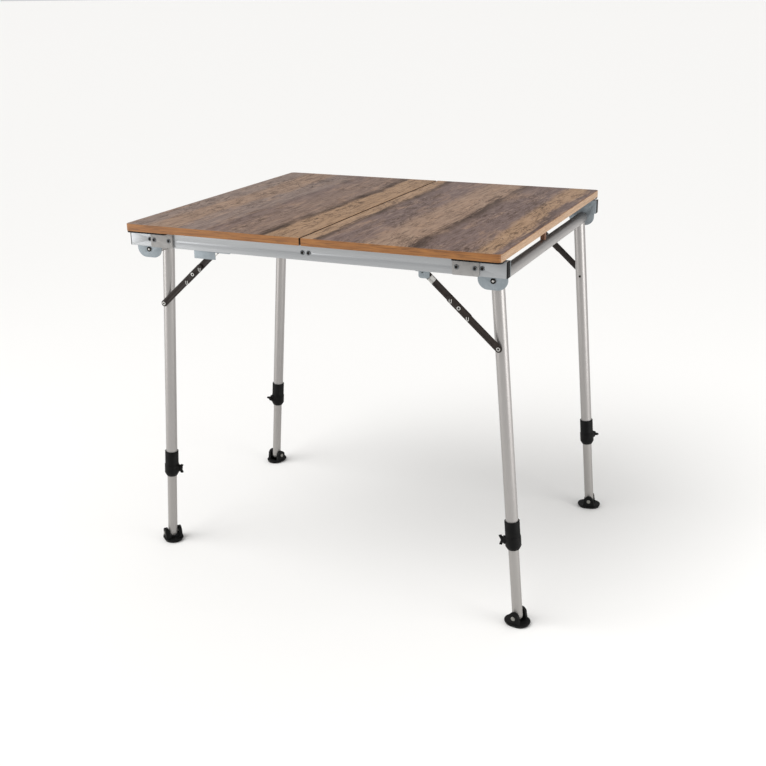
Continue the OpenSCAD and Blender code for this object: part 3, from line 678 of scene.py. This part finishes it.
# Each row: the nodes, how wide their edges are eased, the material, and its slot.
EASED = [
    (["rail_front", "rail_back"], 0.4 * MM, extruded["x"], "aluminium_frame"),
    (["crossmember"], 0.8 * MM, extruded["y"], "aluminium_frame"),
    (["end_caps"], 0.5 * MM, nylon, "black_plastic"),
    (each_corner("corner_plate_"), 0.6 * MM, plate_zinc, "galvanised_steel"),
    (each_corner("pivot_plate_"), 0.4 * MM, zinc, "galvanised_steel"),
    (each_corner("bracket_"), 0.4 * MM, zinc, "galvanised_steel"),
    (each_corner("clamp_"), 0.6 * MM, nylon, "black_plastic"),
    (each_corner("wing_screw_"), 0.9 * MM, nylon, "black_plastic"),
    (each_corner("foot_"), 1.0 * MM, nylon, "black_plastic"),
    (each_corner("foot_pin_"), 0.4 * MM, pin_grey, "bright_fastener"),
    (["rest_block_left", "rest_block_right"], 1.0 * MM, brown_nylon, "brown_plastic"),
]
for group, width, material, slot in EASED:
    for node in group:
        soften(node, width, material, slot)
print("eased pieces:", sum(len(row[0]) for row in EASED))

# %% [markdown]
# A clamp's screw passes through a boss on the collar. The CAD boss is only a low pad; on
# the real clamp it stands out as a round block. Each boss is a drum along its screw's
# axis, which the frame's joint gives, and its outer rim is rounded.

# %% Clamp bosses
BOSS_R, BOSS_FROM, BOSS_TO = 8.5 * MM, 12 * MM, 19.2 * MM
BOSS_SIDES, BOSS_EASE = 40, 1.2 * MM

for corner in CORNERS:
    joint = joints["wing_screw_turn_" + corner]
    centre, axis = Vector(joint["pos_m"]), Vector(joint["axis"]).normalized()
    boss = start(bpy.ops.mesh.primitive_cylinder_add, "clamp_boss_" + corner,
                 vertices=BOSS_SIDES, radius=BOSS_R, depth=BOSS_TO - BOSS_FROM,
                 location=centre + axis * (BOSS_FROM + BOSS_TO) / 2,
                 rotation=axis.to_track_quat("Z", "Y").to_euler())
    bpy.ops.object.mode_set(mode="EDIT")
    pick_edges(boss, lambda e: all((v.co - centre).dot(axis) > BOSS_TO - MM / 10
                                   for v in e.verts))
    bpy.ops.mesh.bevel(offset=BOSS_EASE, segments=3)
    bpy.ops.object.mode_set(mode="OBJECT")
    paint_faces(boss, [nylon])
    hand_over(boss, LEG_FRAME[side_of(corner)], "black_plastic")
    print(boss.name, [round(v / MM, 1) for v in boss.dimensions], "mm")

# %% [markdown]
# The tubes are round already, so the CAD solids stay and only take their finish. So do
# the little pins in the brackets.

# %% Tubes and pins
def finish_only(node, material):
    nodes[node].data.materials.clear()
    nodes[node].data.materials.append(material)


for end, side_name in (("l", "left"), ("r", "right")):
    finish_only("cross_tube_" + side_name, drawn["y"])
    for depth_letter in "fb":
        finish_only(f"leg_tube_{depth_letter}{end}", drawn[side_name])
        finish_only(f"lower_tube_{depth_letter}{end}", matt[side_name])
finish_only("bracket_pins", nickel)
print("tubes finished:", sum("tube" in node for node in nodes))

# %% [markdown]
# Round fasteners are made like a turner makes them: a disc is drawn out ring by ring,
# each ring with its own radius and height. `turned` does that with extrude and resize.
# A fastener that repeats is turned once, as a pattern, and copied to its places.

# %% Turning and copying
RING_SIDES = 32


def turned(name, profile):
    """A closed round piece along Z from (radius, height) pairs, lowest first."""
    radius, height = profile[0]
    piece = start(bpy.ops.mesh.primitive_circle_add, name, vertices=RING_SIDES,
                  radius=radius, fill_type="NGON", location=(0, 0, height))
    bpy.ops.object.mode_set(mode="EDIT")
    bpy.ops.mesh.select_all(action="SELECT")
    for new_radius, new_height in profile[1:]:
        bpy.ops.mesh.extrude_region_move(
            TRANSFORM_OT_translate={"value": (0, 0, new_height - height)})
        size = new_radius / radius
        bpy.ops.transform.resize(value=(size, size, 1), center_override=(0, 0, new_height))
        radius, height = new_radius, new_height
    bpy.ops.mesh.select_all(action="SELECT")
    bpy.ops.mesh.normals_make_consistent(inside=False)
    bpy.ops.object.mode_set(mode="OBJECT")
    return piece


def joined(pieces, name):
    """Makes one piece of several, and names it."""
    only(pieces[0])
    for piece in pieces:
        piece.select_set(True)
    if len(pieces) > 1:
        bpy.ops.object.join()
    pieces[0].name = pieces[0].data.name = name
    return pieces[0]


def copies(pattern, name, places):
    """One piece from copies of a pattern, each moved by its own matrix."""
    made = []
    for place in places:
        copy = bpy.data.objects.new(name, pattern.data.copy())
        bpy.context.scene.collection.objects.link(copy)
        copy.data.transform(place)
        made.append(copy)
    return joined(made, name)


def facing(x, y, z, depth):
    """Turns a piece's Z axis outwards, to the front (-1) or the back (1)."""
    return Matrix.Translation((x, y, z)) @ Matrix.Rotation(-depth * QUARTER, 4, "X")


# %% [markdown]
# The frame's rivets are hollow: a rolled rim round a hollow core, whose dark colour is
# painted shade in the hole. They are set from the outside, so the inner end is a plain
# flat head. How long a rivet is comes from what it holds: the rail and the hinge plate
# inside it, at the corners the corner plate as well, and in the middle the crossmember's
# tongue.

# %% Rivets
def faces_of(node):
    """How far the outer and the inner face of a front node lie from the table's middle."""
    low, high = box_of(node)
    return -low.y, -high.y


PLATE_OUT, RAIL_OUT = faces_of("corner_plate_fl")
RAIL_IN, PIVOT_IN = faces_of("pivot_plate_fl")
TONGUE_IN = RAIL_IN - 9 * MM
RIVET_Z = sum(end.z for end in box_of("frame_rivets")) / 2
RIVET_R, HEAD_R, HEAD_T, CORE_R, CORE_DEEP = 2 * MM, 4.6 * MM, 1.2 * MM, 2.8 * MM, 0.9 * MM
# Each kind: its outer face, its inner end, and its places to both sides of the middle.
RIVET_KINDS = {"plate": (PLATE_OUT, PIVOT_IN, (0.3445, 0.3095)),
               "rail": (RAIL_OUT, PIVOT_IN, (0.3575,)),
               "cross": (RAIL_OUT, TONGUE_IN, (0.0066,))}


def hollow_rivet(name, length):
    inner_head = [(0.9 * HEAD_R, -length - HEAD_T), (HEAD_R, -length - 0.7 * HEAD_T),
                  (HEAD_R, -length)]
    shank = [(RIVET_R, -length), (RIVET_R, 0)]
    rolled_rim = [(HEAD_R, 0), (HEAD_R, 0.45 * HEAD_T), (0.94 * HEAD_R, 0.8 * HEAD_T),
                  (0.8 * HEAD_R, HEAD_T), (1.1 * CORE_R, 0.95 * HEAD_T)]
    core = [(CORE_R, 0.7 * HEAD_T), (0.95 * CORE_R, HEAD_T - CORE_DEEP)]
    return turned(name, inner_head + shank + rolled_rim + core)


# The faces of a rivet's hollow core take a dark colour: painted shade in the hole.
def in_painted_core_shade(face):
    return int(face.center.xy.length < 0.98 * CORE_R and face.center.z > -HEAD_T)


rivet_groups = []
for kind, (outer, inner, xs) in RIVET_KINDS.items():
    pattern = hollow_rivet("pattern_" + kind, outer - inner)
    paint_faces(pattern, [rivet_grey, dark_end_and_painted_shade], in_painted_core_shade)
    rivet_groups.append(copies(pattern, "rivets_" + kind,
                               [facing(side * x, depth * outer, RIVET_Z, depth)
                                for side in (-1, 1) for depth in (-1, 1) for x in xs]))
    bpy.data.objects.remove(pattern)
rivets = joined(rivet_groups, "hollow_rivets")
hand_over(rivets, "table_top", "bright_fastener", "frame_rivets", smooth=50)
print("rivets:", len(rivets.data.polygons), "faces")

# %% [markdown]
# Each leg frame turns on two studs. Their heads have a bright dome in a ring groove,
# where the punch closed them; the groove's dark colour is painted shade. The plug inside
# the tube is kept, so that the piece is whole when the table is taken apart.

# %% Hinge studs
hinge = Vector(joints["fold_right"]["pos_m"])
CROSS_LOW, CROSS_HIGH = box_of("cross_tube_right")
CROSS_HALF, TUBE_R = CROSS_HIGH.y, (CROSS_HIGH.x - CROSS_LOW.x) / 2
PLUG_R, PLUG_DEEP, NECK_R, PASS = 10.95 * MM, 25 * MM, 4 * MM, 0.3 * MM
STUD_R, STUD_T, DOME_R, GROOVE_R = 5.2 * MM, 2 * MM, 2.6 * MM, 3.4 * MM
HEAD_FOOT = RAIL_IN + PASS - CROSS_HALF


def stud_profile():
    plug = [(PLUG_R, -PLUG_DEEP), (PLUG_R, 0), (NECK_R, 0), (NECK_R, HEAD_FOOT)]
    ring = [(STUD_R, HEAD_FOOT), (STUD_R, HEAD_FOOT + 0.4 * STUD_T),
            (0.93 * STUD_R, HEAD_FOOT + 0.6 * STUD_T), (GROOVE_R, HEAD_FOOT + 0.65 * STUD_T),
            (DOME_R, HEAD_FOOT + 0.2 * STUD_T)]
    dome = [(DOME_R * math.cos(a), HEAD_FOOT + STUD_T * (0.4 + 0.6 * math.sin(a)))
            for a in (math.radians(step) for step in (0, 20, 40, 60, 80))]
    return plug + ring + dome


# The faces of the groove round the dome take a dark colour: painted shade in the recess.
def in_painted_groove_shade(face):
    from_axis = face.center.xy.length
    return int(face.center.z > HEAD_FOOT and 0.99 * DOME_R < from_axis < 0.97 * STUD_R)


stud_pattern = turned("pattern_stud", stud_profile())
paint_faces(stud_pattern, [nickel, dark_end_and_painted_shade], in_painted_groove_shade)
for side, word in ((-1, "left"), (1, "right")):
    studs = copies(stud_pattern, f"hinge_studs_{word}_domed",
                   [facing(side * hinge.x, depth * CROSS_HALF, hinge.z, depth)
                    for depth in (-1, 1)])
    hand_over(studs, LEG_FRAME[side], "bright_fastener", "hinge_studs_" + word, smooth=50)
    print(studs.name, len(studs.data.polygons), "faces")
bpy.data.objects.remove(stud_pattern)

# %% [markdown]
# Each brace is two painted bars that share a rivet in the middle. The upper bar hangs
# in a bracket and its end is left bare; the lower bar is riveted to the leg. Positions
# on a brace are easiest to give along it, from the upper pivot: `on_brace` turns such a
# distance into a point, and `along` measures the distance of a point. The bars are
# eased copies of the CAD solids; bisecting the upper one gives its bare end a clean
# edge, with a dark stop between pivot and strap.

# %% Brace bars
UPPER_PIVOT, MIDDLE_PIVOT = (Vector(joints[name]["pos_m"]).xz
                             for name in ("brace_upper_turn_fr", "brace_lower_turn_fr"))
BRACE_WAY = (MIDDLE_PIVOT - UPPER_PIVOT).normalized()
UPPER_BAR, BRACE_LEN = (MIDDLE_PIVOT - UPPER_PIVOT).length, 0.20094
BRACE_EASE, BARE_END, STOP = 0.4 * MM, 28 * MM, (12.5 * MM, 16.5 * MM)


def on_brace(side, distance):
    """X and Z of a point on a brace."""
    x, z = UPPER_PIVOT + distance * BRACE_WAY
    return side * x, z


def along(point, side):
    return (Vector((side * point.x, point.z)) - UPPER_PIVOT).dot(BRACE_WAY)


def in_bare_end(face, side):
    distance = along(face.center, side)
    return int(distance < BARE_END and not STOP[0] < distance < STOP[1])


for corner in CORNERS:
    side = side_of(corner)
    upper = soften("brace_upper_" + corner, BRACE_EASE, paint, "brace_paint")
    only(upper)
    bpy.ops.object.mode_set(mode="EDIT")
    for distance in (BARE_END, *STOP):
        x, z = on_brace(side, distance)
        bpy.ops.mesh.select_all(action="SELECT")
        bpy.ops.mesh.bisect(plane_co=(x, 0, z), plane_no=(side * BRACE_WAY.x, 0, BRACE_WAY.y))
    bpy.ops.object.mode_set(mode="OBJECT")
    paint_faces(upper, [paint, nickel], lambda face: in_bare_end(face, side))
    soften("brace_lower_" + corner, BRACE_EASE, paint, "brace_paint")
print("brace bars", round(UPPER_BAR / MM, 1), "and", round((BRACE_LEN - UPPER_BAR) / MM, 1), "mm")

# %% [markdown]
# The rivets of a brace have bright rolled heads, a little larger than the CAD heads that
# they cover, round a hollow core whose dark colour is painted shade. The leg's rivet also
# shows inside the leg, as a dark set end. Both are turned as the frame's rivets were.

# %% Brace rivets
CAP_R, CAP_UNDER, CAP_T = 4.5 * MM, 1.25 * MM, 1.35 * MM


# The hollow in a cap's middle takes a dark colour: painted shade in the recess.
def in_painted_cap_shade(face):
    return int(face.center.xy.length < 0.44 * CAP_R and face.center.z > CAP_UNDER / 2)


cap = turned("pattern_cap", [(0.97 * CAP_R, 0), (CAP_R, 0.3 * MM), (CAP_R, 0.8 * MM),
                             (0.92 * CAP_R, 1.1 * MM), (0.76 * CAP_R, CAP_T),
                             (0.6 * CAP_R, 1.34 * MM), (0.46 * CAP_R, 1.29 * MM),
                             (0.42 * CAP_R, CAP_UNDER)])
paint_faces(cap, [nickel, dark_end_and_painted_shade], in_painted_cap_shade)
set_end = turned("pattern_set_end", [(2.6 * MM, -0.6 * MM), (2.8 * MM, 0.2 * MM),
                                     (2.4 * MM, 0.8 * MM), (1.4 * MM, 1.1 * MM)])
paint_faces(set_end, [dark_end_and_painted_shade])
print("a cap has", len(cap.data.polygons), "faces")

# %% [markdown]
# Beside the middle rivet, small wire staples mark where the two bars lock in line. A
# staple is a little disc that is drawn up, spun half round and drawn down again.

# %% Staple
STAPLE_R, STAPLE_HALF, STAPLE_LEG = 0.9 * MM, 2.1 * MM, 5.2 * MM
STAPLE_SIDES, BEND_STEPS = 10, 10


def bent_staple():
    piece = start(bpy.ops.mesh.primitive_circle_add, "pattern_staple", vertices=STAPLE_SIDES,
                  radius=STAPLE_R, fill_type="NGON", location=(STAPLE_HALF, 0, 0),
                  rotation=(QUARTER, 0, 0))
    bpy.ops.object.mode_set(mode="EDIT")
    bpy.ops.mesh.select_all(action="SELECT")
    bpy.ops.mesh.extrude_region_move(TRANSFORM_OT_translate={"value": (0, -STAPLE_LEG, 0)})
    bpy.ops.mesh.spin(steps=BEND_STEPS, angle=math.pi, center=(0, -STAPLE_LEG, 0), axis=(0, 0, 1))
    bpy.ops.mesh.extrude_region_move(TRANSFORM_OT_translate={"value": (0, STAPLE_LEG, 0)})
    bpy.ops.mesh.select_all(action="SELECT")
    bpy.ops.mesh.remove_doubles(threshold=MM / 100)
    bpy.ops.mesh.normals_make_consistent(inside=False)
    bpy.ops.object.mode_set(mode="OBJECT")
    return piece


staple = bent_staple()
paint_faces(staple, [nickel])
print("staple reaches", [round(v / MM, 2) for v in staple.dimensions], "mm")

# %% [markdown]
# Every brace gets its two caps, its two staples and the set end inside the leg. The caps
# and staples lie on the lower bar's outer face, which stands off the leg's tube.

# %% Fasteners of the braces
LEG_Y = {side_of(corner): abs(joints["wing_screw_turn_" + corner]["pos_m"][1])
         for corner in ("fl", "fr")}
LOWER_FACE, LOCK_AT = 7.2 * MM, 23 * MM

for corner in CORNERS:
    side, depth = side_of(corner), depth_of(corner)
    bar_face, leg_inside = LEG_Y[side] + TUBE_R + LOWER_FACE, LEG_Y[side] - TUBE_R
    middle, leg_rivet = on_brace(side, UPPER_BAR), on_brace(side, BRACE_LEN)
    caps = copies(cap, "brace_rivets_" + corner,
                  [facing(x, depth * bar_face, z, depth) for x, z in (middle, leg_rivet)])
    hand_over(caps, "lower_link_" + corner, "bright_fastener", smooth=50)
    locks = [on_brace(side, UPPER_BAR + step) for step in (-LOCK_AT, LOCK_AT)]
    staples = copies(staple, "brace_staples_" + corner,
                     [facing(x, depth * bar_face, z, depth) for x, z in locks])
    hand_over(staples, "lower_link_" + corner, "bright_fastener", smooth=60)
    inside = copies(set_end, "leg_rivet_end_" + corner,
                    [facing(leg_rivet[0], depth * leg_inside, leg_rivet[1], -depth)])
    hand_over(inside, LEG_FRAME[side], "bright_fastener", smooth=50)
for pattern in (cap, staple, set_end):
    bpy.data.objects.remove(pattern)
print("legs at", {side: round(y / MM, 1) for side, y in LEG_Y.items()}, "mm from the middle")
